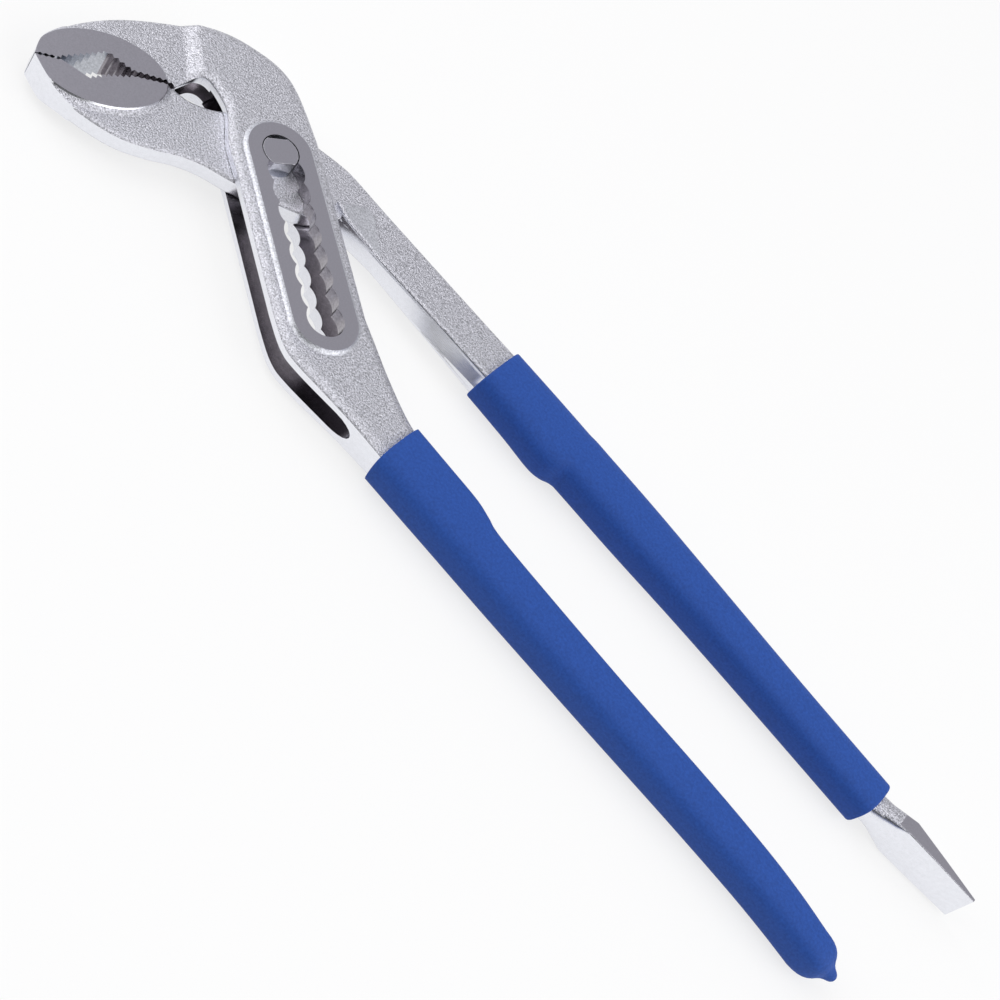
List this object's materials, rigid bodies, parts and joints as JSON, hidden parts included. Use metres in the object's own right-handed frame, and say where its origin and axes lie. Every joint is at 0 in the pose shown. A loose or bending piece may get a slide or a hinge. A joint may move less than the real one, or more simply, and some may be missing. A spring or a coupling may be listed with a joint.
{
  "type": "water pump pliers",
  "caption": "Long-handled slip-joint gripping pliers: angled toothed jaws, a scalloped adjusting slot in a two-plate box joint, dipped grips and a screwdriver tip on one handle.",
  "frame": {"origin": "on the pivot axis, in the plane of the back pad and the pin's back end, which the closed pliers lie on", "axes": "+X along the handles towards their ends, +Y from the slotted arm's handle towards the inner arm's handle, +Z along the pivot axis, out of the front pad"},
  "size_m": [0.2987, 0.0585, 0.013],
  "materials": {
    "forged_steel": "zinc plated over a blasted forging, with the pads, the jaw faces and the blade's edge ground smooth",
    "pin_steel": "ground flush on its ends",
    "blue_dip": "matte dipped vinyl coat with a fine mottled skin"
  },
  "bodies": {
    "slotted_arm": {"slotted_arm": "forged_steel", "slotted_arm_grip": "blue_dip"},
    "pivot_pin": {"pivot_pin": "pin_steel"},
    "inner_arm": {"inner_arm": "forged_steel", "inner_arm_grip": "blue_dip"}
  },
  "joints": [
    {"name": "slot_slide", "type": "slide", "parent": "slotted_arm", "child": "pivot_pin", "axis": [0.8563, -0.5165, 0], "range_m": [0, 0.0472]},
    {"name": "jaw_hinge", "type": "hinge", "parent": "pivot_pin", "child": "inner_arm", "pos_m": [0, 0, 0], "axis": [0, 0, 1], "range_deg": [0, 55]}
  ]
}
